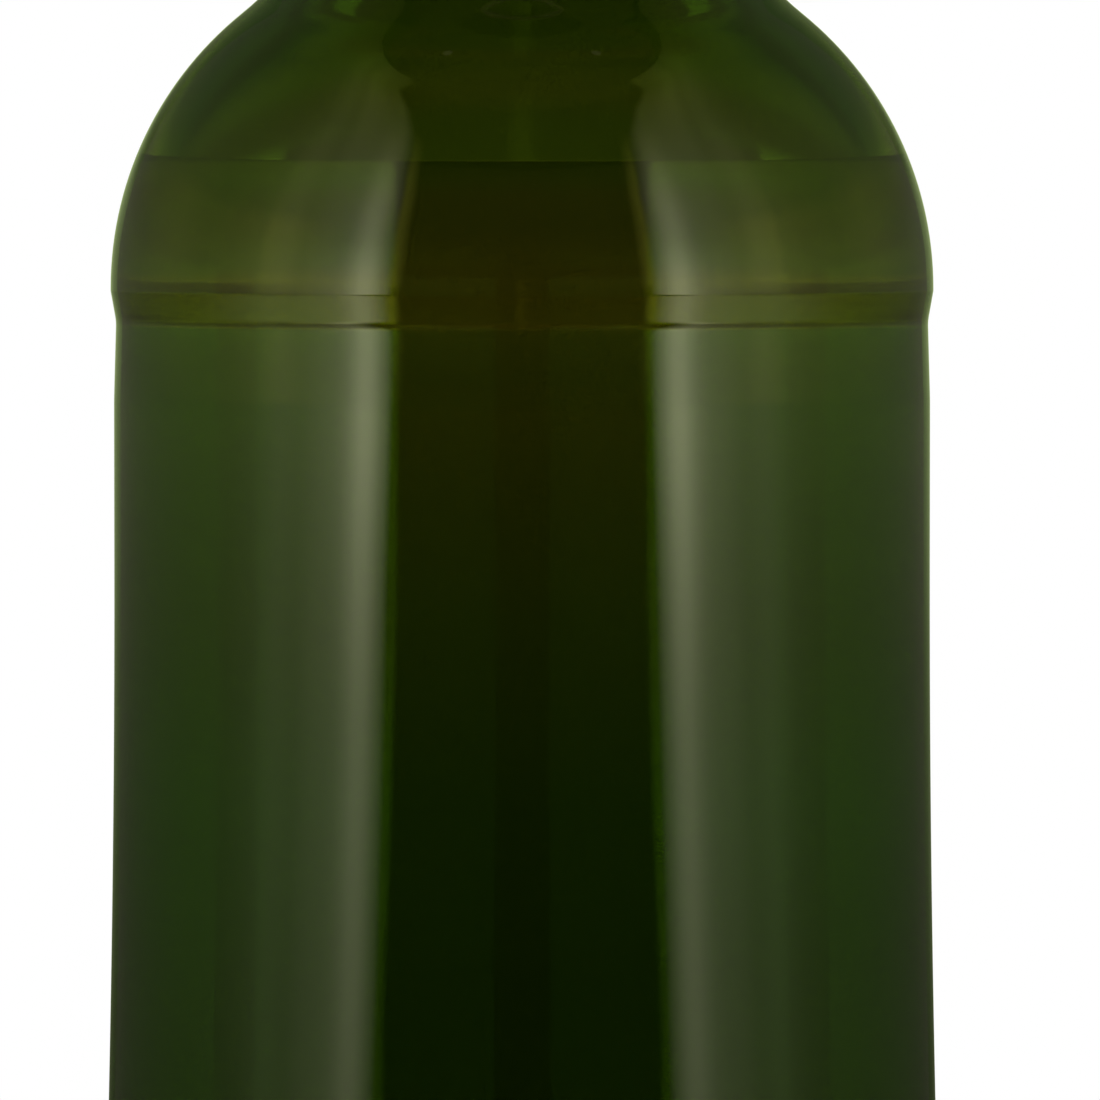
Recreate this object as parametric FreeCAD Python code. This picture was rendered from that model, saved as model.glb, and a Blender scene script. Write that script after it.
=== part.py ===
"""A stoppered round whisky bottle of green glass, with the whisky in it.

Every piece is turned about the Z axis. The origin is the centre of the ring that the bottle stands on, and
+Z points up. Lengths are in millimetres. The pieces are the glass, the whisky, the cork that plugs the
mouth and the cap that the cork hangs from.
"""

import FreeCAD, Part
import math
import os

# Body of the bottle, on the outside of the glass
BEAD_DIAMETER = 76.0  # widest ring, at the foot of the shoulder
BEAD_HEIGHT = 176.0  # standing plane to the lower edge of that ring
BEAD_LAND = 0.2  # upright stretch of the ring below the shoulder's curve
BEAD_ROUND = 0.6
PANEL_SETBACK = 0.3  # how far the wall below the ring stands back from it
PANEL_HEIGHT = 25.0  # from the ring down to where the wall starts to flare
GROOVE_DEPTH = 0.5  # shallow groove under the ring, measured from the ring
GROOVE_DROP = 2.8  # groove's deepest line below the ring
GROOVE_FADE = 10.0  # where the groove has run out into the wall, below the ring
GROOVE_ROUND = 1.0
SKIRT_FLARE = 2.1  # how much wider the wall is at the heel than under the ring
SKIRT_EASE = 0.41  # share of the flare's height over which it leaves the upright at each end

# Heel and base
HEEL_RADIUS = 9.0
HEEL_LAND = 5.0  # upright stretch above the heel's curve
BEARING_WIDTH = 3.0  # flat ring that the bottle stands on
BEARING_ROUND = 1.5
PUSH_UP = 10.0  # height of the hollow under the base
PUSH_UP_CROWN = 13.0  # radius at which the hollow's top starts to fall
PUSH_UP_ROUND = 24.0

# Glass
WALL = 3.2
BASE_THICKNESS = 6.0  # over the hollow under the base
GUTTER_THICKNESS = 7.0  # over the ring that the bottle stands on
GUTTER_ROUND = 7.0
INNER_HEEL_RADIUS = 9.0

# Shoulder and neck
SHOULDER_RADIUS = 32.6
SHOULDER_TURN = 51.0  # degrees of the shoulder's curve before it sweeps back up into the neck
NECK_LENGTH = 30.0  # upright neck between the sweep and the lip

# Mouth
MOUTH_BORE = 19.0
MOUTH_WALL = 5.2  # glass around the bore, on the neck
MOUTH_DEPTH = 26.0  # parallel bore, before it opens into the neck
BORE_RELIEF = 12.0  # height over which the bore opens out
LIP_HEIGHT = 14.0
LIP_PROUD = 1.1  # how far the lip stands out from the neck
LIP_ROUND = 1.2
MOUTH_ROUND = 0.8

# What is in the bottle
LEVEL_ABOVE_BEAD = 11.5  # drink's surface above the lower edge of the ring

# Stopper
CORK_LENGTH = 21.0
CORK_CHAMFER = 1.5
CORK_CLEARANCE = 0.05
CAP_HEIGHT = 15.0
CAP_OVERHANG = 0.5  # how far the cap stands out from the lip
CAP_CROWN = 0.8  # how much higher the cap is at its middle than at its edge
CAP_ROUND = 1.6
CAP_FOOT_ROUND = 0.6

# Heights and radii that follow
BEAD_RADIUS = BEAD_DIAMETER / 2
PANEL_RADIUS = BEAD_RADIUS - PANEL_SETBACK
BASE_RADIUS = PANEL_RADIUS + SKIRT_FLARE
SKIRT_TOP = BEAD_HEIGHT - PANEL_HEIGHT
SKIRT_BOTTOM = HEEL_RADIUS + HEEL_LAND
SHOULDER_FOOT = BEAD_HEIGHT + BEAD_LAND
BORE_RADIUS = MOUTH_BORE / 2
NECK_RADIUS = BORE_RADIUS + MOUTH_WALL
LIP_RADIUS = NECK_RADIUS + LIP_PROUD
TURN = math.radians(SHOULDER_TURN)
SHOULDER_CENTRE = BEAD_RADIUS - SHOULDER_RADIUS
SWEEP_START_RADIUS = SHOULDER_CENTRE + SHOULDER_RADIUS * math.cos(TURN)
SWEEP_RADIUS = (SWEEP_START_RADIUS - NECK_RADIUS) / (1 - math.cos(TURN))
SWEEP_CENTRE = NECK_RADIUS + SWEEP_RADIUS
NECK_FOOT = SHOULDER_FOOT + (SHOULDER_RADIUS + SWEEP_RADIUS) * math.sin(TURN)
LIP_FOOT = NECK_FOOT + NECK_LENGTH
LIP_TOP = LIP_FOOT + LIP_HEIGHT
LEVEL = BEAD_HEIGHT + LEVEL_ABOVE_BEAD

AXIS = FreeCAD.Vector(0, 0, 1)
ORIGIN = FreeCAD.Vector(0, 0, 0)


def at(radius, height):
    """A point of an outline, in the half plane that is turned about the axis."""
    return FreeCAD.Vector(radius, 0, height)


def line(start, end):
    return Part.LineSegment(start, end).toShape()


def arc(centre, radius, first, last):
    """An arc about centre, between two angles in radians measured from outwards to upwards."""
    points = []
    for angle in (first, (first + last) / 2, last):
        points.append(centre + at(math.cos(angle), math.sin(angle)) * radius)
    return Part.Arc(*points).toShape()


def ease(start, end):
    """A curve between two heights that leaves and arrives upright."""
    handle = at(0, (end.z - start.z) * SKIRT_EASE)
    curve = Part.BezierCurve()
    curve.setPoles([start, start + handle, end - handle, end])
    return curve.toShape()


def rounded(corners):
    """Straight edges through corners of (radius, height, rounding), each corner an arc tangent to both."""
    points = [at(radius, height) for radius, height, rounding in corners]
    edges = []
    reached = points[0]
    for before, corner, after, (_, _, rounding) in zip(points, points[1:], points[2:], corners[1:]):
        back = (before - corner).normalize()
        ahead = (after - corner).normalize()
        half = back.getAngle(ahead) / 2
        room = 0.49 * min((before - corner).Length, (after - corner).Length)
        setback = min(rounding / math.tan(half), room)
        radius = setback * math.tan(half)
        middle = (back + ahead).normalize() * (radius / math.sin(half) - radius)
        entry = corner + back * setback
        leave = corner + ahead * setback
        edges.append(line(reached, entry))
        edges.append(Part.Arc(entry, corner + middle, leave).toShape())
        reached = leave
    edges.append(line(reached, points[-1]))
    return edges


def turned(edges):
    """The solid that a closed outline makes when it is turned about the axis."""
    face = Part.Face(Part.Wire(edges))
    solid = face.revolve(ORIGIN, AXIS, 360)
    if solid.Volume < 0:
        solid.reverse()
    return solid


def shoulder_and_sweep(inset):
    """The shoulder's curve and the sweep up into the neck, inset from the outside of the glass."""
    shoulder_centre = at(SHOULDER_CENTRE, SHOULDER_FOOT)
    shoulder = arc(shoulder_centre, SHOULDER_RADIUS - inset, 0, TURN)
    sweep = arc(at(SWEEP_CENTRE, NECK_FOOT), SWEEP_RADIUS + inset, math.pi + TURN, math.pi)
    return [shoulder, sweep]


def outside():
    """The glass with no hollow in it."""
    bearing_inner = BASE_RADIUS - HEEL_RADIUS - BEARING_WIDTH
    base = rounded(
        [
            (0, PUSH_UP, 0),
            (PUSH_UP_CROWN, PUSH_UP, PUSH_UP_ROUND),
            (bearing_inner, 0, BEARING_ROUND),
            (BASE_RADIUS, 0, HEEL_RADIUS),
            (BASE_RADIUS, SKIRT_BOTTOM, 0),
        ]
    )
    skirt = ease(at(BASE_RADIUS, SKIRT_BOTTOM), at(PANEL_RADIUS, SKIRT_TOP))
    ring = rounded(
        [
            (PANEL_RADIUS, SKIRT_TOP, 0),
            (PANEL_RADIUS, BEAD_HEIGHT - GROOVE_FADE, GROOVE_ROUND),
            (BEAD_RADIUS - GROOVE_DEPTH, BEAD_HEIGHT - GROOVE_DROP, GROOVE_ROUND),
            (BEAD_RADIUS, BEAD_HEIGHT, BEAD_ROUND),
            (BEAD_RADIUS, SHOULDER_FOOT, 0),
        ]
    )
    lip = rounded(
        [
            (NECK_RADIUS, NECK_FOOT, 0),
            (NECK_RADIUS, LIP_FOOT, LIP_ROUND),
            (LIP_RADIUS, LIP_FOOT + LIP_PROUD, LIP_ROUND),
            (LIP_RADIUS, LIP_TOP, LIP_ROUND),
            (0, LIP_TOP, 0),
        ]
    )
    closing = line(at(0, LIP_TOP), at(0, PUSH_UP))
    return turned(base + [skirt] + ring + shoulder_and_sweep(0) + lip + [closing])


def hollow():
    """The space inside the glass, up to the top of the mouth."""
    gutter_radius = BASE_RADIUS - HEEL_RADIUS - BEARING_WIDTH
    floor = PUSH_UP + BASE_THICKNESS
    bottom = rounded(
        [
            (0, floor, 0),
            (PUSH_UP_CROWN, floor, PUSH_UP_ROUND),
            (gutter_radius, GUTTER_THICKNESS, GUTTER_ROUND),
            (BASE_RADIUS - WALL, GUTTER_THICKNESS, INNER_HEEL_RADIUS),
            (BASE_RADIUS - WALL, SKIRT_BOTTOM + GUTTER_THICKNESS, 0),
        ]
    )
    wall_foot = at(BASE_RADIUS - WALL, SKIRT_BOTTOM + GUTTER_THICKNESS)
    wall_middle = at(PANEL_RADIUS - WALL, SKIRT_TOP)
    wall_top = at(BEAD_RADIUS - WALL, SHOULDER_FOOT)
    walls = [ease(wall_foot, wall_middle), ease(wall_middle, wall_top)]
    parallel_foot = LIP_TOP - MOUTH_DEPTH
    neck = rounded(
        [
            (NECK_RADIUS - WALL, NECK_FOOT, 0),
            (NECK_RADIUS - WALL, parallel_foot - BORE_RELIEF, BORE_RELIEF),
            (BORE_RADIUS, parallel_foot, BORE_RELIEF),
            (BORE_RADIUS, LIP_TOP - MOUTH_ROUND, MOUTH_ROUND),
            (BORE_RADIUS + MOUTH_ROUND, LIP_TOP, 0),
        ]
    )
    closing = [
        line(at(BORE_RADIUS + MOUTH_ROUND, LIP_TOP), at(0, LIP_TOP)),
        line(at(0, LIP_TOP), at(0, floor)),
    ]
    return turned(bottom + walls + shoulder_and_sweep(WALL) + neck + closing)


def bottle(space):
    return outside().cut(space)


def whisky(space):
    """The part of the space inside the glass that lies below the drink's level."""
    below_level = Part.makeCylinder(BASE_RADIUS + BEAD_RADIUS, LEVEL)
    return space.common(below_level)


def stopper_cork():
    radius = BORE_RADIUS - CORK_CLEARANCE
    foot = LIP_TOP - CORK_LENGTH
    outline = [
        (0, foot),
        (radius - CORK_CHAMFER, foot),
        (radius, foot + CORK_CHAMFER),
        (radius, LIP_TOP),
        (0, LIP_TOP),
    ]
    points = [at(*point) for point in outline]
    edges = [line(start, end) for start, end in zip(points, points[1:] + points[:1])]
    return turned(edges)


def stopper_cap():
    radius = LIP_RADIUS + CAP_OVERHANG
    edge_top = LIP_TOP + CAP_HEIGHT - CAP_CROWN
    middle_top = LIP_TOP + CAP_HEIGHT
    edges = rounded(
        [
            (0, LIP_TOP, 0),
            (radius, LIP_TOP, CAP_FOOT_ROUND),
            (radius, edge_top, CAP_ROUND),
            (0, middle_top, 0),
        ]
    )
    return turned(edges + [line(at(0, middle_top), at(0, LIP_TOP))])


def main():
    space = hollow()
    pieces = {
        "bottle": bottle(space),
        "whisky": whisky(space),
        "stopper_cork": stopper_cork(),
        "stopper_cap": stopper_cap(),
    }
    os.makedirs("parts", exist_ok=True)
    for name, shape in pieces.items():
        shape.exportStep(f"parts/{name}.step")
        print(name, "valid", shape.isValid(), "solids", len(shape.Solids), "ml", round(shape.Volume / 1000, 1))


main()
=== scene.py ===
"""Looks of a stoppered round whisky bottle of dark green glass, standing in a small studio.

Lengths are in metres, and every piece is turned about the Z axis of the frame. The glass, the whisky, the
cork and the cap are each one closed mesh made on the same lathe, a Geometry Nodes tree that turns an outline.
"""

import math

import bpy
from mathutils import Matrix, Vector


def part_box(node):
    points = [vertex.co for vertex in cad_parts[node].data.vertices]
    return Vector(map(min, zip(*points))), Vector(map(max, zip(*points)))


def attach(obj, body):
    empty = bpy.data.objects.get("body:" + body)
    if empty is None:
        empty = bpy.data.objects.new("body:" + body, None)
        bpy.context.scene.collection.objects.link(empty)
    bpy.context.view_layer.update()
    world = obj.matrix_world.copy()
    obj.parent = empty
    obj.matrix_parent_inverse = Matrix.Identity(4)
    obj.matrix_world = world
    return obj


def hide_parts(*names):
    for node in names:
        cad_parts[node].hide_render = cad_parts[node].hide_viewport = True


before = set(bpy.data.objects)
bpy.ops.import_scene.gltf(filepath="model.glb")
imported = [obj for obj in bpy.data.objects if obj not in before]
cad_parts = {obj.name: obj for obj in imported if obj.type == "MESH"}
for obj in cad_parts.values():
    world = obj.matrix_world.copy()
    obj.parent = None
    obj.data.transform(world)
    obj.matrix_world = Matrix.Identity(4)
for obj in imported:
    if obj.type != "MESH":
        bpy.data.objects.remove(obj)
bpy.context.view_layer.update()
MM = 0.001

# ---------------------------------------------------------------------------------------------------------
# Sizes of the bottle. The heights of the lip and of the drink come from the frame.
# ---------------------------------------------------------------------------------------------------------

GLASS_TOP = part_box("bottle")[1].z
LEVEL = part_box("whisky")[1].z
CAP_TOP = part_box("stopper_cap")[1].z
CORK_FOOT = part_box("stopper_cork")[0].z

BEAD_RADIUS = 38 * MM
BEAD_HEIGHT = LEVEL - 11.5 * MM
BEAD_LAND = 0.2 * MM
BEAD_ROUND = 1.1 * MM
PANEL_RADIUS = BEAD_RADIUS - 0.3 * MM
PANEL_HEIGHT = 25 * MM
GROOVE_DEPTH = 0.5 * MM
GROOVE_DROP = 2.8 * MM
GROOVE_FADE = 10 * MM
GROOVE_ROUND = 5 * MM
PANEL_ROUND = 40 * MM
BASE_RADIUS = PANEL_RADIUS + 2.1 * MM
SKIRT_EASE = 0.41
HEEL_RADIUS = 9 * MM
SKIRT_BOTTOM = HEEL_RADIUS + 5 * MM
SKIRT_TOP = BEAD_HEIGHT - PANEL_HEIGHT
BEARING_WIDTH = 3 * MM
BEARING_ROUND = 1.5 * MM
PUSH_UP = 10 * MM
PUSH_UP_CROWN = 13 * MM
PUSH_UP_ROUND = 24 * MM
WALL = 3.2 * MM
FLOOR = PUSH_UP + 6 * MM
GUTTER = 7 * MM
GUTTER_ROUND = 7 * MM
INNER_HEEL_RADIUS = 9 * MM
SHOULDER_RADIUS = 32.6 * MM
SHOULDER_FOOT = BEAD_HEIGHT + BEAD_LAND
SHOULDER_CENTRE = BEAD_RADIUS - SHOULDER_RADIUS
TURN = math.radians(51)
BORE_RADIUS = 9.5 * MM
NECK_RADIUS = BORE_RADIUS + 5.2 * MM
SWEEP_START = SHOULDER_CENTRE + SHOULDER_RADIUS * math.cos(TURN)
SWEEP_RADIUS = (SWEEP_START - NECK_RADIUS) / (1 - math.cos(TURN))
SWEEP_CENTRE = NECK_RADIUS + SWEEP_RADIUS
NECK_FOOT = SHOULDER_FOOT + (SHOULDER_RADIUS + SWEEP_RADIUS) * math.sin(TURN)
LIP_FOOT = GLASS_TOP - 14 * MM
LIP_PROUD = 1.1 * MM
LIP_RADIUS = NECK_RADIUS + LIP_PROUD
LIP_ROUND = 1.2 * MM
MOUTH_DEPTH = 26 * MM
MOUTH_ROUND = 0.8 * MM
BORE_RELIEF = 12 * MM

WHISKY_BITE = 0.15 * MM  # how far the whisky reaches into the wall, so that no air shows between them
WHISKY_ROUND = 0.06 * MM
CORK_CLEARANCE = 0.05 * MM
CAP_OVERHANG = 0.5 * MM
CAP_CROWN = 0.8 * MM
SEED_PLACE = (19.8 * MM, -19.7 * MM, LEVEL + 12.25 * MM)  # a dark seed in the glass of the shoulder

# The glass's tint paints light and shade by height. A level ray bends down inside the tilted wall, so that
# painted tint changes this much lower on the inside of the wall than on its outside. The middle of the wall
# lies between the two radii.
PAINTED_TINT_DROP = 0.42 * MM
WALL_MIDDLE = (33.6 * MM, 35 * MM)

KNURLS = 110  # around the ring that the bottle stands on

# The relief of the glass that is shading alone, in millimetres
WAVE_RELIEF = 0.03
SEAM_RELIEF = 0.03
KNURL_RELIEF = 0.12

# ---------------------------------------------------------------------------------------------------------
# Sizes of the studio
# ---------------------------------------------------------------------------------------------------------

SCREEN_RADIUS = 0.6
RIM_SCREEN_RADIUS = 0.59
SCREEN_FOOT = -0.4
SCREEN_TOP = 1.4
SCREEN_STEPS = 180
ROOF_RADIUS = 0.62
BULB_RADIUS = 0.022
BULB_PLACE = (0.315, -0.114, SCREEN_TOP - 10 * MM)
FLOOR_RADIUS = 1.05
BOW_DEGREES = 35.0  # how far the strip lights may bow sideways along their height
STRIP_STRENGTH = 3.5
BACK_STRENGTH = 4.0
CAMERA_DISTANCE = 0.95
CAMERA_FIELD = 101.7 * MM  # the width that the camera sees at the bottle's axis
CAMERA_TARGET = (2.58 * MM, 0, BEAD_HEIGHT - 24 * MM)


# ---------------------------------------------------------------------------------------------------------
# Outlines: lists of (radius, height), walked so that the piece lies on the left
# ---------------------------------------------------------------------------------------------------------


def arc(centre, radius, first, last, steps):
    """Points along an arc about centre, between two angles measured from outwards to upwards."""
    points = []
    for step in range(steps + 1):
        angle = first + (last - first) * step / steps
        points.append((centre[0] + radius * math.cos(angle), centre[1] + radius * math.sin(angle)))
    return points


def ease(start, end, steps):
    """Points along a curve between two heights that leaves and arrives upright."""
    handle = (end[1] - start[1]) * SKIRT_EASE
    poles = (start, (start[0], start[1] + handle), (end[0], end[1] - handle), end)
    points = []
    for step in range(steps + 1):
        t = step / steps
        weights = ((1 - t) ** 3, 3 * t * (1 - t) ** 2, 3 * t * t * (1 - t), t**3)
        points.append(tuple(sum(w * pole[axis] for w, pole in zip(weights, poles)) for axis in (0, 1)))
    return points


def rounded(corners, steps=8):
    """Points along straight runs through corners of (radius, height, rounding), each corner an arc."""
    spots = [Vector(corner[:2]) for corner in corners]
    points = [tuple(spots[0])]
    for before, corner, after, (_, _, rounding) in zip(spots, spots[1:], spots[2:], corners[1:]):
        back = (before - corner).normalized()
        ahead = (after - corner).normalized()
        half = back.angle(ahead) / 2
        room = 0.49 * min((before - corner).length, (after - corner).length)
        setback = min(rounding / math.tan(half), room)
        radius = setback * math.tan(half)
        centre = corner + (back + ahead).normalized() * (radius / math.sin(half))
        entry = corner + back * setback - centre
        leave = corner + ahead * setback - centre
        turn = entry.angle_signed(leave)
        for step in range(steps + 1):
            angle = -turn * step / steps
            spoke = Vector(
                (
                    entry.x * math.cos(angle) - entry.y * math.sin(angle),
                    entry.x * math.sin(angle) + entry.y * math.cos(angle),
                )
            )
            points.append(tuple(centre + spoke))
    points.append(tuple(spots[-1]))
    return points


def finely(points, longest=3.0 * MM):
    """The same outline with its doubles dropped and its long runs divided."""
    fine = [points[0]]
    for point in points[1:]:
        start = Vector(fine[-1])
        run = Vector(point) - start
        if run.length < 0.005 * MM:
            continue
        parts = max(1, math.ceil(run.length / longest))
        fine += [tuple(start + run * part / parts) for part in range(1, parts + 1)]
    return fine


def shoulder_and_sweep(inset):
    """The shoulder's curve and the sweep up into the neck, inset from the outside of the glass."""
    shoulder = arc((SHOULDER_CENTRE, SHOULDER_FOOT), SHOULDER_RADIUS - inset, 0, TURN, 30)
    sweep = arc((SWEEP_CENTRE, NECK_FOOT), SWEEP_RADIUS + inset, math.pi + TURN, math.pi, 24)
    return shoulder + sweep


def glass_outside():
    """The outside of the glass, from the middle of its hollow base up to the mouth."""
    bearing_inner = BASE_RADIUS - HEEL_RADIUS - BEARING_WIDTH
    base = rounded(
        [
            (0, PUSH_UP, 0),
            (PUSH_UP_CROWN, PUSH_UP, PUSH_UP_ROUND),
            (bearing_inner, 0, BEARING_ROUND),
            (BASE_RADIUS, 0, HEEL_RADIUS),
            (BASE_RADIUS, SKIRT_BOTTOM, 0),
        ],
        steps=12,
    )
    skirt = ease((BASE_RADIUS, SKIRT_BOTTOM), (PANEL_RADIUS, SKIRT_TOP), 32)
    ring = rounded(
        [
            (PANEL_RADIUS, SKIRT_TOP, 0),
            (PANEL_RADIUS, BEAD_HEIGHT - GROOVE_FADE, PANEL_ROUND),
            (BEAD_RADIUS - GROOVE_DEPTH, BEAD_HEIGHT - GROOVE_DROP, GROOVE_ROUND),
            (BEAD_RADIUS, BEAD_HEIGHT, BEAD_ROUND),
            (BEAD_RADIUS, SHOULDER_FOOT, 0),
        ]
    )
    lip = rounded(
        [
            (NECK_RADIUS, NECK_FOOT, 0),
            (NECK_RADIUS, LIP_FOOT, LIP_ROUND),
            (LIP_RADIUS, LIP_FOOT + LIP_PROUD, LIP_ROUND),
            (LIP_RADIUS, GLASS_TOP, LIP_ROUND),
            (BORE_RADIUS + MOUTH_ROUND, GLASS_TOP, 0),
        ]
    )
    return base + skirt + ring + shoulder_and_sweep(0) + lip


def glass_inside(grow=0.0):
    """The inside of the glass from the floor up to the neck, grown outwards into the glass."""
    wall_radius = BASE_RADIUS - WALL + grow
    gutter_radius = BASE_RADIUS - HEEL_RADIUS - BEARING_WIDTH
    wall_foot = SKIRT_BOTTOM + GUTTER
    bottom = rounded(
        [
            (0, FLOOR - grow, 0),
            (PUSH_UP_CROWN, FLOOR - grow, PUSH_UP_ROUND),
            (gutter_radius, GUTTER - grow, GUTTER_ROUND),
            (wall_radius, GUTTER - grow, INNER_HEEL_RADIUS),
            (wall_radius, wall_foot, 0),
        ],
        steps=12,
    )
    middle = (PANEL_RADIUS - WALL + grow, SKIRT_TOP)
    walls = ease((wall_radius, wall_foot), middle, 32)
    walls += ease(middle, (BEAD_RADIUS - WALL + grow, SHOULDER_FOOT), 8)
    return bottom + walls + shoulder_and_sweep(WALL - grow)


def glass_outline():
    """The whole glass: up its outside, over the lip and down its inside."""
    parallel_foot = GLASS_TOP - MOUTH_DEPTH
    bore = rounded(
        [
            (NECK_RADIUS - WALL, NECK_FOOT, 0),
            (NECK_RADIUS - WALL, parallel_foot - BORE_RELIEF, BORE_RELIEF),
            (BORE_RADIUS, parallel_foot, BORE_RELIEF),
            (BORE_RADIUS, GLASS_TOP - MOUTH_ROUND, MOUTH_ROUND),
            (BORE_RADIUS + MOUTH_ROUND, GLASS_TOP, 0),
        ]
    )
    inside = glass_inside() + bore
    return finely(glass_outside() + inside[::-1])


def whisky_outline():
    """The whisky, which bites into the wall. Its level ends in a close corner, so that it shades flat."""
    reach = SHOULDER_RADIUS - WALL + WHISKY_BITE
    collar = LEVEL - 0.5 * MM
    wall_at_collar, wall_at_level = (
        SHOULDER_CENTRE + math.sqrt(reach**2 - (height - SHOULDER_FOOT) ** 2) for height in (collar, LEVEL)
    )
    side = [point for point in glass_inside(WHISKY_BITE) if point[1] < collar]
    top = rounded(
        [
            (wall_at_collar, collar, 0),
            (wall_at_level, LEVEL, WHISKY_ROUND),
            (wall_at_level - 0.5 * MM, LEVEL, 0),
        ]
    )
    return finely(side + top + [(0, LEVEL)])


def cork_outline():
    """The cork, chamfered at its foot."""
    radius = BORE_RADIUS - CORK_CLEARANCE
    chamfer = 1.5 * MM
    return finely(
        rounded(
            [
                (0, CORK_FOOT, 0),
                (radius - chamfer, CORK_FOOT, 0.4 * MM),
                (radius, CORK_FOOT + chamfer, 0.4 * MM),
                (radius, GLASS_TOP, 0.1 * MM),
                (0, GLASS_TOP, 0),
            ],
            steps=4,
        ),
        longest=0.8 * MM,
    )


def cap_outline():
    """The cap, with a turned groove near its top and a slightly domed crown."""
    radius = LIP_RADIUS + CAP_OVERHANG
    edge = CAP_TOP - CAP_CROWN
    groove = edge - 4 * MM
    return finely(
        rounded(
            [
                (0, GLASS_TOP, 0),
                (radius, GLASS_TOP, 0.6 * MM),
                (radius, groove - 0.5 * MM, 0.3 * MM),
                (radius - 0.5 * MM, groove, 0.3 * MM),
                (radius, groove + 0.5 * MM, 0.3 * MM),
                (radius, edge, 1.6 * MM),
                (0, CAP_TOP, 0),
            ]
        ),
        longest=1.0 * MM,
    )


# ---------------------------------------------------------------------------------------------------------
# Node helpers
# ---------------------------------------------------------------------------------------------------------


def add(tree, kind, settings=None, **inputs):
    """A new node. Inputs are given by name, as a value or as a socket to link."""
    made = tree.nodes.new(kind)
    for name, value in (settings or {}).items():
        setattr(made, name, value)
    for name, value in inputs.items():
        feed(tree, made.inputs[name.replace("_", " ")], value)
    return made


def feed(tree, socket, value):
    """Links a socket to an input, or sets the input to a value. None leaves it as it is."""
    if isinstance(value, bpy.types.NodeSocket):
        tree.links.new(value, socket)
    elif value is not None:
        socket.default_value = value


def sums(tree, operation, *values):
    """A Math node's result."""
    made = tree.nodes.new("ShaderNodeMath")
    made.operation = operation
    for socket, value in zip(made.inputs, values):
        feed(tree, socket, value)
    return made.outputs[0]


def ramp(tree, factor, stops):
    """A Color Ramp's colour. Stops are (place, grey or colour)."""
    made = tree.nodes.new("ShaderNodeValToRGB")
    band = made.color_ramp
    while len(band.elements) < len(stops):
        band.elements.new(0.5)
    for element, (place, value) in zip(band.elements, stops):
        element.position = place
        colour = value if isinstance(value, tuple) else (value, value, value)
        element.color = (*colour, 1)
    tree.links.new(factor, made.inputs["Fac"])
    return made.outputs["Color"]


def along(tree, value, stops):
    """A colour that follows a value through stops of (value, grey or colour)."""
    low, high = stops[0][0], stops[-1][0]
    share = add(tree, "ShaderNodeMapRange", Value=value, From_Min=low, From_Max=high).outputs[0]
    return ramp(tree, share, [((place - low) / (high - low), shade) for place, shade in stops])


def new_material(name):
    """An empty node material."""
    material = bpy.data.materials.new(name)
    material.use_nodes = True
    material.node_tree.nodes.clear()
    return material


def surface(material, shader, volume=None):
    """Sets what a material's surface and its inside are."""
    tree = material.node_tree
    out = tree.nodes.get("Material Output") or tree.nodes.new("ShaderNodeOutputMaterial")
    tree.links.new(shader, out.inputs["Surface"])
    if volume is not None:
        tree.links.new(volume, out.inputs["Volume"])


# ---------------------------------------------------------------------------------------------------------
# The lathe
# ---------------------------------------------------------------------------------------------------------


def lathe_tree():
    """A Geometry Nodes tree that turns an outline, given as a chain of points, about the Z axis."""
    tree = bpy.data.node_groups.new("Turned on a lathe", "GeometryNodeTree")
    face = tree.interface
    face.new_socket("Geometry", in_out="INPUT", socket_type="NodeSocketGeometry")
    face.new_socket("Segments", in_out="INPUT", socket_type="NodeSocketInt").default_value = 192
    face.new_socket("Material", in_out="INPUT", socket_type="NodeSocketMaterial")
    face.new_socket("Geometry", in_out="OUTPUT", socket_type="NodeSocketGeometry")
    given = tree.nodes.new("NodeGroupInput")
    outline = given.outputs["Geometry"]
    count = add(tree, "GeometryNodeAttributeDomainSize", {"component": "MESH"}, Geometry=outline)
    rows = count.outputs["Point Count"]
    columns = sums(tree, "ADD", given.outputs["Segments"], 1)
    grid = add(tree, "GeometryNodeMeshGrid", Vertices_X=columns, Vertices_Y=rows)
    index = tree.nodes.new("GeometryNodeInputIndex").outputs[0]
    row = sums(tree, "FLOORED_MODULO", index, rows)
    column = sums(tree, "FLOOR", sums(tree, "DIVIDE", index, rows))
    place = tree.nodes.new("GeometryNodeInputPosition").outputs[0]
    spot = add(
        tree,
        "GeometryNodeSampleIndex",
        {"data_type": "FLOAT_VECTOR", "domain": "POINT"},
        Geometry=outline,
        Value=place,
        Index=row,
    )
    angle = sums(tree, "MULTIPLY", sums(tree, "DIVIDE", column, given.outputs["Segments"]), math.tau)
    turned = add(
        tree,
        "ShaderNodeVectorRotate",
        {"rotation_type": "Z_AXIS"},
        Vector=spot.outputs["Value"],
        Angle=angle,
    )
    set_place = add(
        tree, "GeometryNodeSetPosition", Geometry=grid.outputs["Mesh"], Position=turned.outputs["Vector"]
    )
    joined = add(tree, "GeometryNodeMergeByDistance", Geometry=set_place.outputs[0], Distance=0.001 * MM)
    smooth = add(tree, "GeometryNodeSetShadeSmooth", Geometry=joined.outputs[0])
    real = add(tree, "GeometryNodeRealizeInstances", Geometry=smooth.outputs[0])
    painted = add(
        tree, "GeometryNodeSetMaterial", Geometry=real.outputs[0], Material=given.outputs["Material"]
    )
    out = tree.nodes.new("NodeGroupOutput")
    tree.links.new(painted.outputs[0], out.inputs[0])
    return tree


def set_inputs(modifier, **values):
    """Sets a Geometry Nodes modifier's inputs by the sockets' identifiers."""
    for item in modifier.node_group.interface.items_tree:
        key = item.name.replace(" ", "_")
        if item.in_out == "INPUT" and key in values:
            modifier[item.identifier] = values[key]


def new_object(name, mesh):
    """An object at the origin, linked to the scene."""
    piece = bpy.data.objects.new(name, mesh)
    bpy.context.scene.collection.objects.link(piece)
    return piece


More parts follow.
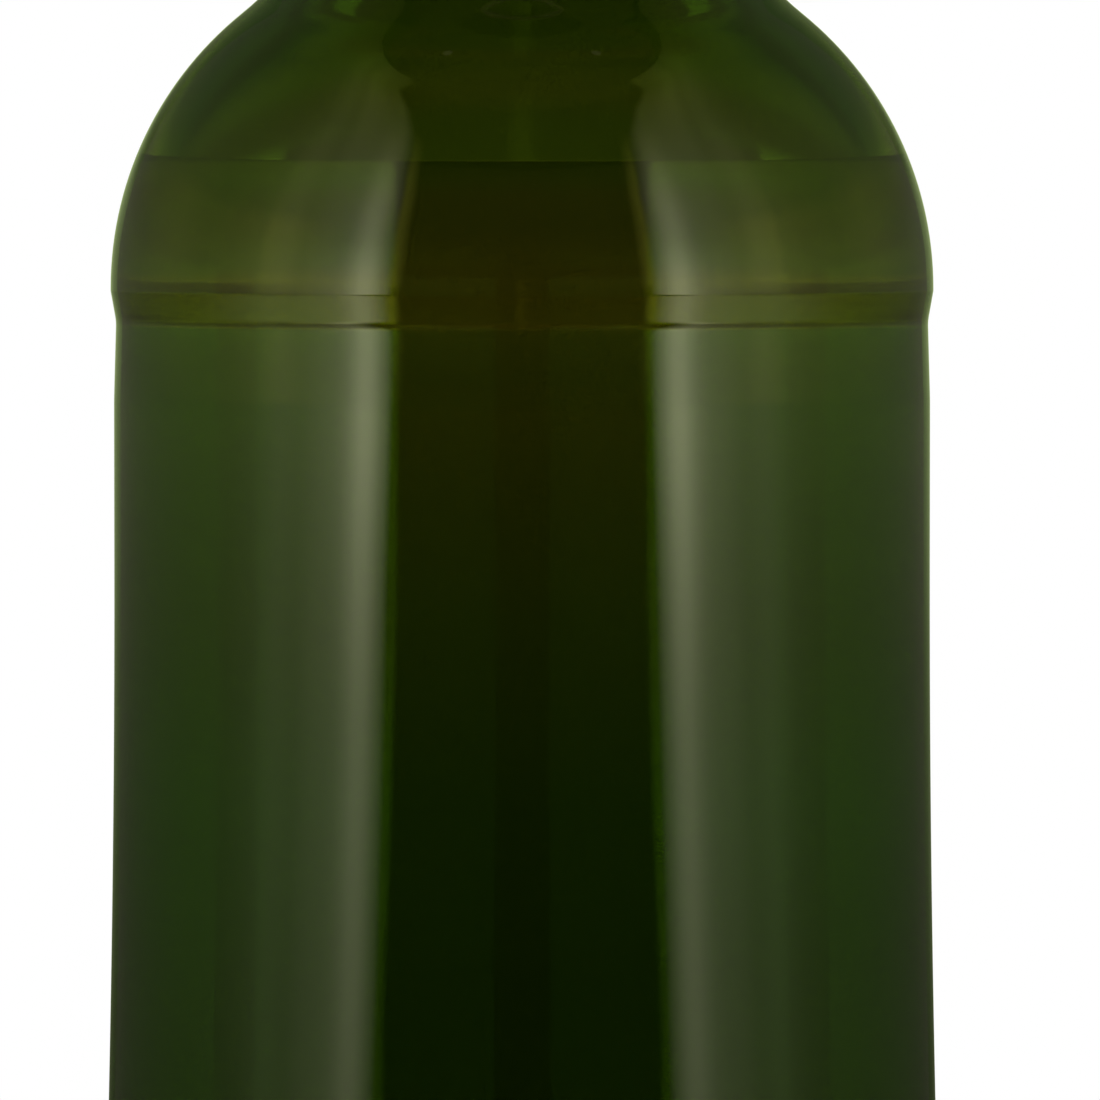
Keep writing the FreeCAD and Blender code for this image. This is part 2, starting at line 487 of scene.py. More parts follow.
def settled(name, source, material):
    """A plain mesh piece of what the modifiers on source make, in place of source."""
    view = bpy.context.evaluated_depsgraph_get()
    mesh = bpy.data.meshes.new_from_object(source.evaluated_get(view), depsgraph=view)
    mesh.name = name
    bpy.data.objects.remove(source)
    mesh.materials.clear()
    mesh.materials.append(material)
    return new_object(name, mesh)


def turned_piece(name, outline, material, tree, **values):
    """One closed piece, turned from an outline."""
    chain = bpy.data.meshes.new(name + "_outline")
    links = [(i, i + 1) for i in range(len(outline) - 1)]
    chain.from_pydata([(radius, 0, height) for radius, height in outline], links, [])
    source = new_object(name + "_source", chain)
    modifier = source.modifiers.new("Lathe", "NODES")
    modifier.node_group = tree
    set_inputs(modifier, Material=material, **values)
    return settled(name, source, material)


# ---------------------------------------------------------------------------------------------------------
# Materials
# ---------------------------------------------------------------------------------------------------------


def handling_marks():
    """A shader node group: what hands and shelves leave on a glossy surface, as two masks."""
    group = bpy.data.node_groups.new("Handling marks", "ShaderNodeTree")
    group.interface.new_socket("Vector", in_out="INPUT", socket_type="NodeSocketVector")
    group.interface.new_socket("Smudge", in_out="OUTPUT", socket_type="NodeSocketFloat")
    group.interface.new_socket("Dust", in_out="OUTPUT", socket_type="NodeSocketFloat")
    given = group.nodes.new("NodeGroupInput").outputs["Vector"]
    film = add(
        group, "ShaderNodeTexNoise", Vector=given, Scale=48.0, Detail=3.0, Roughness=0.55, Distortion=0.4
    )
    cells = add(group, "ShaderNodeTexVoronoi", Vector=given, Scale=260.0)
    dot = ramp(group, cells.outputs["Distance"], [(0.03, 1.0), (0.07, 0.0)])
    chosen = ramp(group, cells.outputs["Color"], [(0.66, 0.0), (0.7, 1.0)])
    out = group.nodes.new("NodeGroupOutput")
    feed(group, out.inputs["Smudge"], ramp(group, film.outputs[0], [(0.45, 0.0), (0.72, 1.0)]))
    feed(group, out.inputs["Dust"], sums(group, "MULTIPLY", dot, chosen))
    return group


def grain_group():
    """A shader node group: long fibres along X, as a streak mask and a mask of short dark pores."""
    group = bpy.data.node_groups.new("Fibres", "ShaderNodeTree")
    group.interface.new_socket("Vector", in_out="INPUT", socket_type="NodeSocketVector")
    group.interface.new_socket("Fineness", in_out="INPUT", socket_type="NodeSocketFloat").default_value = 1.0
    group.interface.new_socket("Streak", in_out="OUTPUT", socket_type="NodeSocketFloat")
    group.interface.new_socket("Pore", in_out="OUTPUT", socket_type="NodeSocketFloat")
    given = group.nodes.new("NodeGroupInput").outputs
    stretched = add(group, "ShaderNodeMapping", Vector=given["Vector"], Scale=(0.07, 1.0, 1.0)).outputs[0]
    pores_at = add(group, "ShaderNodeMapping", Vector=given["Vector"], Scale=(0.12, 1.0, 1.0)).outputs[0]
    coarse = sums(group, "MULTIPLY", given["Fineness"], 700.0)
    fine = sums(group, "MULTIPLY", given["Fineness"], 2600.0)
    bands = add(group, "ShaderNodeTexNoise", Vector=stretched, Scale=coarse, Detail=4.0, Roughness=0.6)
    pores = add(group, "ShaderNodeTexNoise", Vector=pores_at, Scale=fine, Detail=1.0)
    out = group.nodes.new("NodeGroupOutput")
    feed(group, out.inputs["Streak"], ramp(group, bands.outputs[0], [(0.32, 0.0), (0.68, 1.0)]))
    feed(group, out.inputs["Pore"], ramp(group, pores.outputs[0], [(0.62, 0.0), (0.7, 1.0)]))
    return group


def mixed(tree, factor, first, second, blend="MIX"):
    """A Mix node's colour. Colours are sockets or (red, green, blue)."""
    node = add(tree, "ShaderNodeMix", {"data_type": "RGBA", "blend_type": blend})
    for name, value in (("Factor", factor), (6, first), (7, second)):
        socket = node.inputs[name]
        feed(tree, socket, (*value, 1.0) if isinstance(value, tuple) else value)
    return node.outputs[2]


def object_place(tree):
    """Object coordinates, whole and as X, Y and Z."""
    coords = tree.nodes.new("ShaderNodeTexCoord").outputs["Object"]
    return coords, add(tree, "ShaderNodeSeparateXYZ", Vector=coords).outputs


def glass_relief(tree, coords, parts):
    """The relief in millimetres of the glass's slow waves, its two mould seams and its knurled foot."""
    waves = add(tree, "ShaderNodeTexNoise", Vector=coords, Scale=34.0, Detail=1.0).outputs[0]
    from_seam = sums(tree, "ABSOLUTE", parts["Y"])
    seam = along(tree, from_seam, [(0.0, 1.0), (0.12 * MM, 0.8), (0.3 * MM, 0.0)])
    azimuth = sums(tree, "ARCTAN2", parts["Y"], parts["X"])
    knurls = sums(tree, "SINE", sums(tree, "MULTIPLY", azimuth, KNURLS))
    at_foot = along(tree, parts["Z"], [(0.4 * MM, 1.0), (1.1 * MM, 0.0)])
    height = sums(tree, "MULTIPLY", waves, WAVE_RELIEF)
    height = sums(tree, "ADD", height, sums(tree, "MULTIPLY", seam, SEAM_RELIEF))
    knurls = sums(tree, "MULTIPLY", sums(tree, "MULTIPLY", knurls, at_foot), KNURL_RELIEF)
    return sums(tree, "ADD", height, knurls)


def glass_material(marks):
    """Very dark olive green glass: a stain in its depth, and a tint at its skin that holds painted light and
    shade by height: lightening and warming from the bead up to the level, the same darker tint below the bead
    and above the level, and darker again high on the shoulder.
    """
    material = new_material("Dark green glass")
    tree = material.node_tree
    coords, parts = object_place(tree)
    level_place = add(tree, "ShaderNodeVectorMath", {"operation": "MULTIPLY"})
    feed(tree, level_place.inputs[0], coords)
    feed(tree, level_place.inputs[1], (1, 1, 0))
    radius = add(tree, "ShaderNodeVectorMath", {"operation": "LENGTH"})
    feed(tree, radius.inputs[0], level_place.outputs[0])
    inner, outer = WALL_MIDDLE
    outside = along(tree, radius.outputs["Value"], [(inner, 0.0), (outer, 1.0)])
    # Painted light and shade in the glass's tint: lighter and warmer from the bead up to the level, darker
    # high on the shoulder.
    body = along(
        tree,
        sums(tree, "MULTIPLY_ADD", outside, -PAINTED_TINT_DROP, parts["Z"]),
        [
            (BEAD_HEIGHT - 2 * MM, (0.35, 0.405, 0.14)), (BEAD_HEIGHT + 5.5 * MM, (0.42, 0.43, 0.14)),
            (BEAD_HEIGHT + 8.5 * MM, (0.60, 0.52, 0.15)), (LEVEL - 1.5 * MM, (0.70, 0.66, 0.16)),
            (LEVEL, (0.76, 0.72, 0.17)), (LEVEL + 0.06 * MM, (0.35, 0.405, 0.14)),
            (LEVEL + 12.8 * MM, (0.35, 0.405, 0.14)), (LEVEL + 14 * MM, (0.28, 0.365, 0.08)),
        ],
    )
    drawn_out = add(tree, "ShaderNodeMapping", Vector=coords, Scale=(1.0, 1.0, 0.25)).outputs[0]
    streaks = add(tree, "ShaderNodeTexNoise", Vector=drawn_out, Scale=90.0, Detail=3.0).outputs[0]
    faint = ramp(tree, streaks, [(0.3, (0.95, 0.97, 0.94)), (0.7, (1.0, 1.0, 1.0))])
    from_seed = add(tree, "ShaderNodeVectorMath", {"operation": "DISTANCE"})
    feed(tree, from_seed.inputs[0], coords)
    feed(tree, from_seed.inputs[1], SEED_PLACE)
    seed = along(tree, from_seed.outputs["Value"], [(0.1 * MM, 0.25), (0.5 * MM, 1.0)])
    mark = add(tree, "ShaderNodeGroup", {"node_tree": marks}, Vector=coords).outputs
    roughness = sums(tree, "ADD", 0.026, sums(tree, "MULTIPLY", mark["Smudge"], 0.012))
    bump = add(tree, "ShaderNodeBump", Height=glass_relief(tree, coords, parts), Strength=1.0, Distance=MM)
    shader = add(
        tree,
        "ShaderNodeBsdfPrincipled",
        Base_Color=mixed(tree, 1.0, mixed(tree, 1.0, body, faint, "MULTIPLY"), seed, "MULTIPLY"),
        Roughness=sums(tree, "ADD", roughness, sums(tree, "MULTIPLY", mark["Dust"], 0.05)),
        IOR=1.52,
        Transmission_Weight=1.0,
        Normal=bump.outputs[0],
    )
    depth = add(tree, "ShaderNodeVolumeAbsorption", Color=(0.39, 0.44, 0.06, 1.0), Density=500.0)
    surface(material, shader.outputs[0], depth.outputs[0])
    return material


def whisky_material():
    """Clear amber whisky, stained in its depth, with faint oily legs near its level."""
    material = new_material("Amber whisky")
    tree = material.node_tree
    coords, parts = object_place(tree)
    drawn_out = add(tree, "ShaderNodeMapping", Vector=coords, Scale=(1.0, 1.0, 0.2)).outputs[0]
    legs = add(tree, "ShaderNodeTexNoise", Vector=drawn_out, Scale=160.0, Detail=1.0).outputs[0]
    oily = ramp(tree, legs, [(0.5, (1.0, 1.0, 1.0)), (0.65, (0.98, 0.97, 0.94))])
    near_level = along(tree, parts["Z"], [(LEVEL - 14 * MM, 0.0), (LEVEL, 1.0)])
    shader = add(
        tree,
        "ShaderNodeBsdfPrincipled",
        Base_Color=mixed(tree, near_level, (1.0, 1.0, 1.0), oily),
        Roughness=0.0,
        IOR=1.36,
        Transmission_Weight=1.0,
    )
    depth = add(tree, "ShaderNodeVolumeAbsorption", Color=(0.93, 0.45, 0.0, 1.0), Density=15.0)
    surface(material, shader.outputs[0], depth.outputs[0])
    return material


def cork_material():
    """Natural cork: a mottled tan of small cells, crossed by dark lenticels, its foot wet with whisky."""
    material = new_material("Natural cork")
    tree = material.node_tree
    coords, parts = object_place(tree)
    mottle = add(tree, "ShaderNodeTexNoise", Vector=coords, Scale=320.0, Detail=4.0, Roughness=0.65)
    mottle = mottle.outputs[0]
    tans = [(0.3, (0.36, 0.21, 0.10)), (0.5, (0.52, 0.34, 0.18)), (0.7, (0.66, 0.47, 0.28))]
    tan = ramp(tree, mottle, tans)
    flattened = add(tree, "ShaderNodeMapping", Vector=coords, Scale=(1.0, 1.0, 3.2)).outputs[0]
    gaps = add(tree, "ShaderNodeTexNoise", Vector=flattened, Scale=430.0, Detail=2.0, Distortion=0.8)
    lenticel = ramp(tree, gaps.outputs[0], [(0.6, 0.0), (0.66, 1.0)])
    cells = add(tree, "ShaderNodeTexVoronoi", Vector=coords, Scale=2200.0).outputs["Distance"]
    wet = along(tree, parts["Z"], [(CORK_FOOT, 0.45), (CORK_FOOT + 5 * MM, 1.0)])
    colour = mixed(tree, lenticel, tan, (0.12, 0.06, 0.03))
    hollows = sums(tree, "MULTIPLY", lenticel, 0.3)
    relief = sums(tree, "SUBTRACT", sums(tree, "MULTIPLY", cells, 0.05), hollows)
    shader = add(
        tree,
        "ShaderNodeBsdfPrincipled",
        Base_Color=mixed(tree, 1.0, colour, wet, "MULTIPLY"),
        Roughness=ramp(tree, mottle, [(0.3, 0.9), (0.7, 0.7)]),
        Normal=add(tree, "ShaderNodeBump", Height=relief, Strength=1.0, Distance=MM).outputs[0],
    )
    surface(material, shader.outputs[0])
    return material


def cap_material(marks, fibres):
    """Turned hardwood, its grain across the cap, under a dark stain and a satin lacquer."""
    material = new_material("Stained wood")
    tree = material.node_tree
    coords = object_place(tree)[0]
    bend = add(tree, "ShaderNodeTexNoise", Vector=coords, Scale=40.0, Detail=1.0).outputs["Color"]
    swayed = add(tree, "ShaderNodeVectorMath", {"operation": "MULTIPLY_ADD"})
    feed(tree, swayed.inputs[0], bend)
    feed(tree, swayed.inputs[1], (0.0, 0.004, 0.004))
    feed(tree, swayed.inputs[2], coords)
    grain = add(tree, "ShaderNodeGroup", {"node_tree": fibres}, Vector=swayed.outputs[0], Fineness=1.0)
    grain = grain.outputs
    rings = add(
        tree,
        "ShaderNodeTexWave",
        {"wave_type": "BANDS", "bands_direction": "Y"},
        Vector=swayed.outputs[0],
        Scale=95.0,
        Distortion=3.0,
        Detail=2.0,
    ).outputs["Fac"]
    browns = [(0.1, (0.045, 0.021, 0.010)), (0.6, (0.082, 0.040, 0.019)), (1.0, (0.115, 0.060, 0.029))]
    stain = ramp(tree, rings, browns)
    stain = mixed(tree, sums(tree, "MULTIPLY", grain["Streak"], 0.5), stain, (0.035, 0.016, 0.009))
    stain = mixed(tree, sums(tree, "MULTIPLY", grain["Pore"], 0.8), stain, (0.012, 0.006, 0.004))
    mark = add(tree, "ShaderNodeGroup", {"node_tree": marks}, Vector=coords).outputs
    roughness = sums(tree, "ADD", 0.46, sums(tree, "MULTIPLY", mark["Smudge"], 0.12))
    raised = sums(tree, "MULTIPLY", grain["Streak"], 0.012)
    relief = sums(tree, "ADD", raised, sums(tree, "MULTIPLY", grain["Pore"], -0.04))
    shader = add(
        tree,
        "ShaderNodeBsdfPrincipled",
        Base_Color=mixed(tree, sums(tree, "MULTIPLY", mark["Dust"], 0.35), stain, (0.3, 0.28, 0.25)),
        Roughness=roughness,
        Coat_Weight=0.2,
        Coat_Roughness=0.25,
        Normal=add(tree, "ShaderNodeBump", Height=relief, Strength=1.0, Distance=MM).outputs[0],
    )
    surface(material, shader.outputs[0])
    return material


# ---------------------------------------------------------------------------------------------------------
# Studio
# ---------------------------------------------------------------------------------------------------------


def make_world():
    """White behind the object, for the camera and in glass, and a plain soft light on everything else."""
    world = bpy.data.worlds.new("Studio")
    world.use_nodes = True
    tree = world.node_tree
    tree.nodes.clear()
    path = tree.nodes.new("ShaderNodeLightPath").outputs
    seen = sums(tree, "MAXIMUM", path["Is Camera Ray"], path["Is Glossy Ray"])
    seen = sums(tree, "MAXIMUM", seen, path["Is Transmission Ray"])
    white = add(tree, "ShaderNodeBackground", Color=(1, 1, 1, 1), Strength=1.0)
    soft = add(tree, "ShaderNodeBackground", Color=(1, 1, 1, 1), Strength=0.55)
    out = tree.nodes.new("ShaderNodeOutputWorld")
    tree.links.new(blended(tree, seen, soft, white), out.inputs["Surface"])
    bpy.context.scene.world = world


def blended(tree, factor, first, second):
    """A Mix Shader's result."""
    mix = add(tree, "ShaderNodeMixShader", Fac=factor)
    tree.links.new(first.outputs[0], mix.inputs[1])
    tree.links.new(second.outputs[0], mix.inputs[2])
    return mix.outputs[0]


def make_lamp():
    """One large soft lamp, above and to the left. Its own square shows in no glass."""
    lamp = bpy.data.lights.new("soft_lamp", "AREA")
    lamp.shape = "DISK"
    lamp.size = 0.9
    lamp.energy = 9.0
    holder = new_object("soft_lamp", lamp)
    holder.location = (-0.75, -0.7, 1.25)
    holder.rotation_euler = (Vector((0, 0, 0.12)) - holder.location).to_track_quat("-Z", "Y").to_euler()
    holder.visible_camera = False
    holder.visible_glossy = False
    holder.visible_transmission = False


def place_group():
    """A shader node group: where a point lies on a round screen, as degrees from the front and as height."""
    group = bpy.data.node_groups.new("Place on a round screen", "ShaderNodeTree")
    group.interface.new_socket("Azimuth", in_out="OUTPUT", socket_type="NodeSocketFloat")
    group.interface.new_socket("Height", in_out="OUTPUT", socket_type="NodeSocketFloat")
    coords = group.nodes.new("ShaderNodeTexCoord").outputs["Object"]
    parts = add(group, "ShaderNodeSeparateXYZ", Vector=coords).outputs
    side = sums(group, "ABSOLUTE", parts["X"])
    front = sums(group, "MULTIPLY", parts["Y"], -1.0)
    out = group.nodes.new("NodeGroupOutput")
    feed(group, out.inputs["Azimuth"], sums(group, "DEGREES", sums(group, "ARCTAN2", side, front)))
    feed(group, out.inputs["Height"], parts["Z"])
    return group


def round_screen(name, radius, gaps=()):
    """An upright round sheet about the bottle that only glass shows, open at the gaps given in degrees."""
    corners = []
    faces = []
    for step in range(SCREEN_STEPS + 1):
        angle = math.tau * step / SCREEN_STEPS
        for height in (SCREEN_FOOT, SCREEN_TOP):
            corners.append((radius * math.sin(angle), -radius * math.cos(angle), height))
    for step in range(SCREEN_STEPS):
        middle = 360 * (step + 0.5) / SCREEN_STEPS
        if any(low < middle < high for low, high in gaps):
            continue
        faces.append((2 * step, 2 * step + 1, 2 * step + 3, 2 * step + 2))
    return stage_sheet(name, corners, faces)


def stage_sheet(name, corners, faces):
    """A sheet of the staging that only glass shows."""
    mesh = bpy.data.meshes.new(name)
    mesh.from_pydata(corners, [], faces)
    sheet = new_object(name, mesh)
    sheet.visible_camera = False
    sheet.visible_diffuse = False
    sheet.visible_shadow = False
    return sheet


def glowing(sheet, strength=None, colour=(1, 1, 1)):
    """Gives a sheet a glow. Returns its tree and light node, so that the glow can vary."""
    material = new_material(sheet.name)
    tree = material.node_tree
    light = add(tree, "ShaderNodeEmission", Strength=strength)
    light.inputs["Color"].default_value = (*colour, 1)
    surface(material, light.outputs[0])
    sheet.data.materials.append(material)
    return tree, light


def strip_lights(place):
    """Upright warm strip lights in front, left and right, that the outside of the glass mirrors.

    Each has a bright core and a wide dim part, which bow with the height. A yellow light beside them
    colours the shoulder, and a low green one the groove under the bead.
    """
    sheet = round_screen("strip_lights", SCREEN_RADIUS, gaps=((172, 188),))
    sheet.visible_transmission = False
    tree, light = glowing(sheet)
    spot = add(tree, "ShaderNodeGroup", {"node_tree": place}).outputs
    height = spot["Height"]
    warmth = [
        (0.45, (1.0, 1.0, 0.66)), (0.8, (1.0, 1.0, 0.4)), (1.05, (0.9, 1.0, 0.25)), (1.2, (0.8, 1.0, 0.15)),
    ]
    feed(tree, light.inputs["Color"], along(tree, height, warmth))
    bow = [
        (-0.06, 0.0), (0.0, 0.11), (0.03, 0.22), (0.06, 0.18), (0.093, 0.115), (0.115, 0.075), (0.13, 0.05),
        (0.15, 0.02), (0.3, 0.0), (0.5, 0.0), (0.73, 0.07), (0.85, 0.14), (1.03, 0.36), (1.2, 0.7),
    ]
    bowed = sums(tree, "MULTIPLY", along(tree, height, bow), BOW_DEGREES)
    azimuth = sums(tree, "SUBTRACT", spot["Azimuth"], bowed)
    core = along(
        tree,
        azimuth,
        [
            (34.3, 0.0), (35.2, 0.1), (36.5, 0.28), (38, 0.4), (39.5, 0.6), (41, 0.8), (42.5, 0.84),
            (44, 0.8), (46, 0.54), (49, 0.25), (52, 0.1), (57, 0.0),
        ],
    )
    core_power = along(
        tree,
        height,
        [
            (-0.2, 0.1), (-0.08, 0.5), (-0.03, 0.66), (0.034, 0.6), (0.046, 0.23), (0.056, 0.23),
            (0.09, 0.32), (0.115, 0.43), (0.15, 1.0), (0.24, 0.87), (0.33, 0.57), (0.5, 0.38), (0.7, 0.14),
            (0.85, 0.04), (1.0, 0.0),
        ],
    )
    wide = along(
        tree,
        azimuth,
        [
            (35, 0.0), (37, 0.08), (39, 0.17), (44, 0.18), (52, 0.24), (57, 0.25), (62, 0.18), (69, 0.18),
            (73, 0.14), (78, 0.10), (86, 0.07), (97, 0.055), (136, 0.042), (160, 0.04),
        ],
    )
    wide_power = along(
        tree,
        height,
        [
            (-0.4, 0.1), (-0.1, 0.68), (0.034, 0.64), (0.046, 0.44), (0.056, 0.44), (0.09, 0.54),
            (0.115, 0.68), (0.15, 1.0), (0.24, 0.9), (0.33, 0.64), (0.85, 0.64), (1.05, 0.64), (1.25, 0.5),
            (1.4, 0.3),
        ],
    )
    core = sums(tree, "MULTIPLY", core, core_power)
    both = sums(tree, "ADD", core, sums(tree, "MULTIPLY", wide, wide_power))
    feed(tree, light.inputs["Strength"], sums(tree, "MULTIPLY", both, STRIP_STRENGTH))
    band = along(
        tree,
        spot["Azimuth"],
        [
            (48, 0.0), (54, 0.2), (63, 0.42), (67, 0.6), (74, 0.66), (77, 0.4), (86, 0.28), (97, 0.19),
            (112, 0.2), (130, 0.06), (150, 0.0),
        ],
    )
    band_height = along(
        tree,
        height,
        [
            (-0.14, 0.0), (-0.08, 0.35), (-0.01, 0.35), (0.03, 0.0), (0.165, 0.0), (0.18, 0.4), (0.21, 0.85),
            (0.35, 1.0), (0.4, 0.45), (0.6, 0.25), (0.8, 0.0),
        ],
    )
    front = along(tree, azimuth, [(32, 0.085), (36, 0.0)])
    front_height = [(0.17, 0.0), (0.3, 0.6), (0.45, 0.75), (0.52, 0.8), (0.64, 0.5), (0.66, 0.0)]
    front_height = along(tree, height, front_height)
    skirt = along(tree, azimuth, [(31, 0.0), (32.5, 0.35), (34.2, 0.7), (35, 0.4), (36, 0.0)])
    skirt_height = along(
        tree,
        height,
        [
            (-0.1, 0.0), (-0.05, 0.6), (-0.02, 0.6), (0.03, 0.0), (0.18, 0.0), (0.2, 0.7), (0.22, 0.9),
            (0.4, 0.85), (0.6, 0.7), (0.75, 0.3), (0.85, 0.0),
        ],
    )
    yellow = add(tree, "ShaderNodeEmission", Color=(1.0, 1.0, 0.15, 1.0))
    band = sums(tree, "MULTIPLY", band, band_height)
    band = sums(tree, "MULTIPLY_ADD", skirt, skirt_height, band)
    feed(tree, yellow.inputs["Strength"], sums(tree, "MULTIPLY_ADD", front, front_height, band))
    groove = along(tree, spot["Azimuth"], [(45, 0.0), (58, 0.17), (100, 0.28), (150, 0.2), (170, 0.12)])
    groove_height = along(tree, height, [(-0.16, 0.0), (-0.11, 1.0), (0.0, 1.0), (0.035, 0.0)])
    green = add(tree, "ShaderNodeEmission", Color=(0.4, 1.0, 0.6, 1.0))
    feed(tree, green.inputs["Strength"], sums(tree, "MULTIPLY", groove, groove_height))
    glow = light
    for other in (yellow, green):
        pair = add(tree, "ShaderNodeAddShader")
        tree.links.new(glow.outputs[0], pair.inputs[0])
        tree.links.new(other.outputs[0], pair.inputs[1])
        glow = pair
    surface(sheet.data.materials[0], glow.outputs[0])


def rim_light(place):
    """A pale green sheet behind the bottle, brighter at its middle and upwards, that edges the glass."""
    sheet = round_screen("rim_light", RIM_SCREEN_RADIUS, gaps=((0, 155), (205, 360)))
    sheet.visible_transmission = False
    tree, light = glowing(sheet, colour=(0.78, 1.0, 0.42))
    spot = add(tree, "ShaderNodeGroup", {"node_tree": place}).outputs
    around = along(tree, spot["Azimuth"], [(155, 0.36), (160, 0.42), (168, 0.57), (171.5, 0.65), (173, 1.0)])
    upwards = along(
        tree,
        spot["Height"],
        [
            (0.03, 0.135), (0.06, 0.165), (0.093, 0.25), (0.115, 0.33), (0.13, 0.48), (0.15, 0.6),
            (0.165, 0.7), (0.19, 0.72), (0.222, 0.72), (0.236, 0.62), (0.258, 0.36), (0.27, 0.3),
            (0.4, 0.26), (1.4, 0.2),
        ],
    )
    feed(tree, light.inputs["Strength"], sums(tree, "MULTIPLY", around, upwards))


def back_screen(place):
    """A pale screen that shows only through the glass, greener and darker low down, brighter at its sides."""
    sheet = round_screen("back_screen", SCREEN_RADIUS)
    sheet.visible_glossy = False
    tree, light = glowing(sheet)
    spot = add(tree, "ShaderNodeGroup", {"node_tree": place}).outputs
    height = spot["Height"]
    quarter = sums(tree, "FLOORED_MODULO", sums(tree, "ADD", spot["Azimuth"], 45.0), 90.0)
    off_axis = sums(tree, "ABSOLUTE", sums(tree, "SUBTRACT", quarter, 45.0))
    middle = along(
        tree,
        height,
        [
            (-0.1, (0.03, 0.075, 0.07)), (0.056, (0.049, 0.106, 0.08)), (0.088, (0.062, 0.132, 0.11)),
            (0.119, (0.112, 0.172, 0.14)), (0.15, (0.2, 0.22, 0.2)), (0.168, (0.25, 0.25, 0.25)),
            (0.225, (0.25, 0.25, 0.25)), (0.238, (0.3, 0.25, 0.22)), (0.25, (0.3, 0.265, 0.22)),
            (0.275, (0.14, 0.18, 0.11)), (0.31, (0.13, 0.17, 0.11)), (0.34, (0.1, 0.14, 0.1)),
            (0.4, (0.09, 0.135, 0.1)),
        ],
    )
    sides = along(
        tree,
        height,
        [
            (-0.1, (0.1, 0.25, 0.2)), (0.056, (0.17, 0.40, 0.3)), (0.088, (0.2, 0.52, 0.4)),
            (0.119, (0.262, 0.52, 0.4)), (0.15, (0.37, 0.745, 0.5)), (0.16, (0.6, 0.82, 0.6)),
            (0.17, (0.76, 0.95, 0.66)), (0.19, (0.78, 1.0, 1.0)), (0.218, (0.78, 1.0, 1.0)),
            (0.229, (0.34, 0.36, 0.3)), (0.25, (0.36, 0.4, 0.27)), (0.265, (0.47, 0.58, 0.3)),
            (0.28, (0.48, 0.6, 0.3)), (0.29, (0.43, 0.56, 0.23)), (0.305, (0.29, 0.45, 0.15)),
            (0.33, (0.15, 0.26, 0.1)), (0.4, (0.08, 0.18, 0.08)),
        ],
    )
    lean = along(tree, height, [(0.05, 0.0), (0.085, 0.5), (0.12, 0.85), (0.15, 0.95)])
    below = along(tree, sums(tree, "ADD", off_axis, lean), [(8.3, 0.0), (8.75, 1.0)])
    above = along(tree, off_axis, [(3.8, 0.0), (5.5, 0.45), (7.4, 0.6), (10, 0.9), (14, 1.0)])
    aside = mixed(tree, along(tree, height, [(0.221, 0.0), (0.229, 1.0)]), below, above)
    feed(tree, light.inputs["Color"], mixed(tree, aside, middle, sides))
    behind = along(tree, spot["Azimuth"], [(70, 0.35), (85, 1.0)])
    streak = along(tree, off_axis, [(0.15, 0.35), (0.45, 0.0)])
    streak_height = along(tree, height, [(0.188, 0.0), (0.195, 1.0), (0.22, 1.0), (0.24, 0.0)])
    streak = sums(tree, "ADD", sums(tree, "MULTIPLY", streak, streak_height), 1.0)
    power = sums(tree, "MULTIPLY", sums(tree, "MULTIPLY", behind, streak), BACK_STRENGTH)
    feed(tree, light.inputs["Strength"], power)


def disc(centre, radius, steps=96):
    """Points around a level disc."""
    turns = [math.tau * step / steps for step in range(steps)]
    return [(centre[0] + radius * math.cos(t), centre[1] + radius * math.sin(t), centre[2]) for t in turns]


def dark_roof():
    """A dark round roof, so that the shoulder mirrors no sky, with two small bulbs under it."""
    aside, front, height = BULB_PLACE
    for name, centre, radius, strength in (
        ("dark_roof", (0, 0, SCREEN_TOP), ROOF_RADIUS, 0.0),
        ("left_bulb", (-aside, front, height), BULB_RADIUS, 0.2),
        ("right_bulb", (aside, front, height), BULB_RADIUS, 0.2),
    ):
        rim = disc(centre, radius)
        sheet = stage_sheet(name, rim, [tuple(range(len(rim)))])
        sheet.visible_transmission = False
        glowing(sheet, strength, (1.0, 1.0, 0.5))


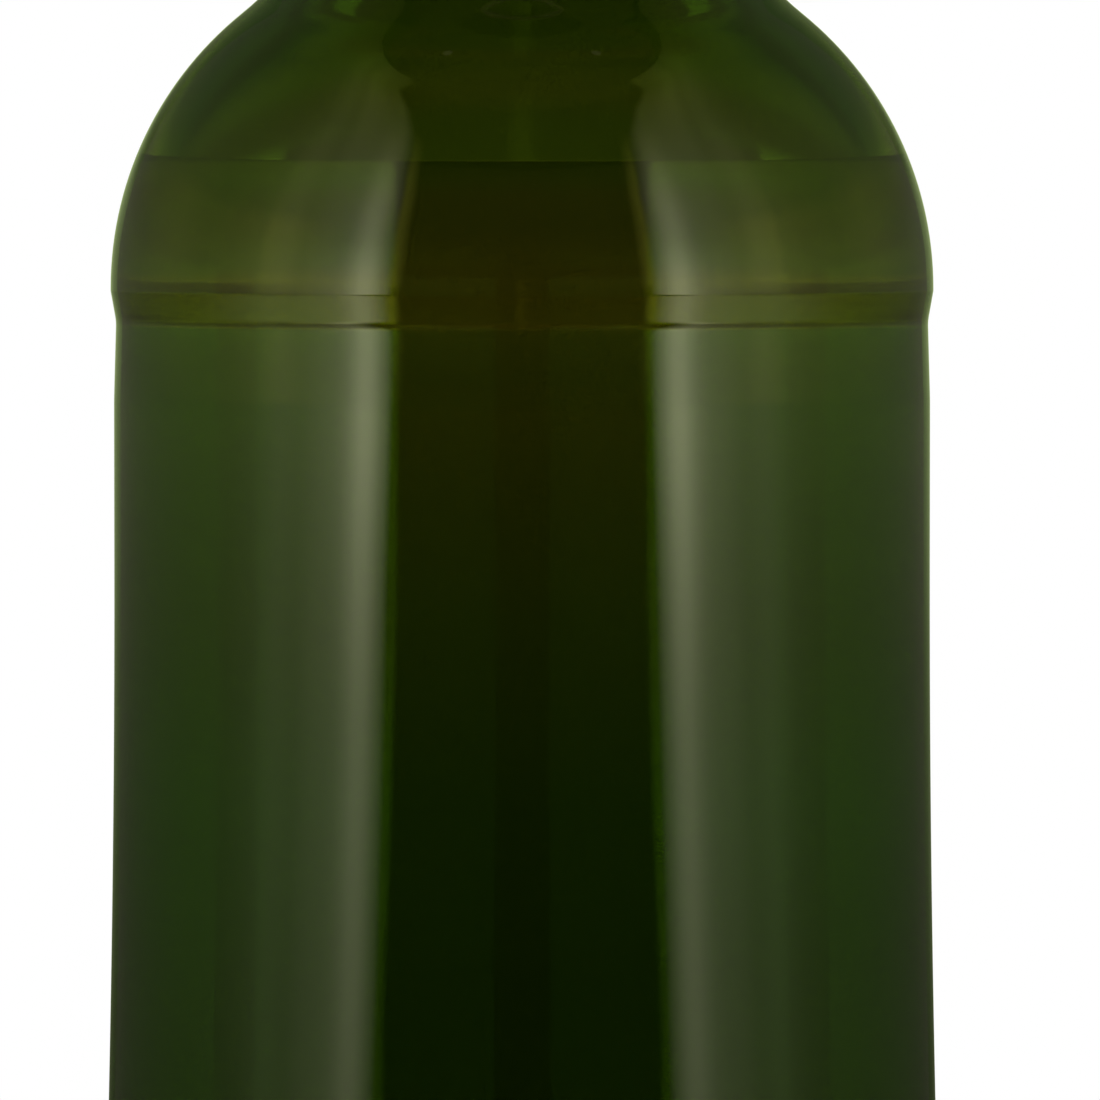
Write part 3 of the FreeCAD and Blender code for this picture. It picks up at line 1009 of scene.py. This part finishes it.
def make_floor():
    """A plain pale floor, white to the camera and in glass but for the bottle's shadow.

    In glass it fades out away from the bottle, so that only the foot of the bottle mirrors it.
    """
    rim = disc((0, 0, 0), FLOOR_RADIUS)
    mesh = bpy.data.meshes.new("floor")
    mesh.from_pydata(rim, [], [tuple(range(len(rim)))])
    floor = new_object("floor", mesh)
    material = new_material("Pale floor")
    tree = material.node_tree
    path = tree.nodes.new("ShaderNodeLightPath").outputs
    in_glass = sums(tree, "MAXIMUM", path["Is Glossy Ray"], path["Is Transmission Ray"])
    seen = sums(tree, "MAXIMUM", path["Is Camera Ray"], in_glass)
    matt = add(tree, "ShaderNodeBsdfDiffuse", Color=(0.8, 0.8, 0.8, 1))
    away = add(tree, "ShaderNodeVectorMath", {"operation": "LENGTH"})
    feed(tree, away.inputs[0], object_place(tree)[0])
    away = away.outputs["Value"]
    whitening = along(tree, away, [(0.3, 0.4), (0.9, 0.6)])
    glow = add(tree, "ShaderNodeEmission", Strength=sums(tree, "MULTIPLY", seen, whitening))
    pale = add(tree, "ShaderNodeAddShader")
    tree.links.new(matt.outputs[0], pale.inputs[0])
    tree.links.new(glow.outputs[0], pale.inputs[1])
    faded = sums(tree, "MULTIPLY", in_glass, along(tree, away, [(0.05, 0.0), (0.3, 1.0)]))
    clear = tree.nodes.new("ShaderNodeBsdfTransparent")
    surface(material, blended(tree, faded, pale, clear))
    mesh.materials.append(material)


def make_camera():
    """Level with the drink, close on the shoulder and the upper body."""
    camera = bpy.data.cameras.new("Camera")
    camera.lens = camera.sensor_width * CAMERA_DISTANCE / CAMERA_FIELD
    holder = new_object("Camera", camera)
    holder.location = (0, -CAMERA_DISTANCE, LEVEL)
    aim = Vector(CAMERA_TARGET) - holder.location
    holder.rotation_euler = aim.to_track_quat("-Z", "Y").to_euler()
    bpy.context.scene.camera = holder


# ---------------------------------------------------------------------------------------------------------
# Putting it together
# ---------------------------------------------------------------------------------------------------------

lathe = lathe_tree()
marks = handling_marks()
glass = turned_piece("glass_bottle", glass_outline(), glass_material(marks), lathe, Segments=192)
whisky = turned_piece("whisky_fill", whisky_outline(), whisky_material(), lathe, Segments=160)
cork = turned_piece("cork_plug", cork_outline(), cork_material(), lathe, Segments=96)
cap = turned_piece("turned_cap", cap_outline(), cap_material(marks, grain_group()), lathe, Segments=128)

for piece, node, slot in (
    (glass, "bottle", "green_glass"),
    (whisky, "whisky", "whisky"),
    (cork, "stopper_cork", "cork"),
    (cap, "stopper_cap", "stained_wood"),
):
    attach(piece, "root")
    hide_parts(node)

make_world()
make_lamp()
make_floor()
place = place_group()
strip_lights(place)
rim_light(place)
back_screen(place)
dark_roof()
make_camera()

scene = bpy.context.scene
scene.view_settings.view_transform = "Standard"
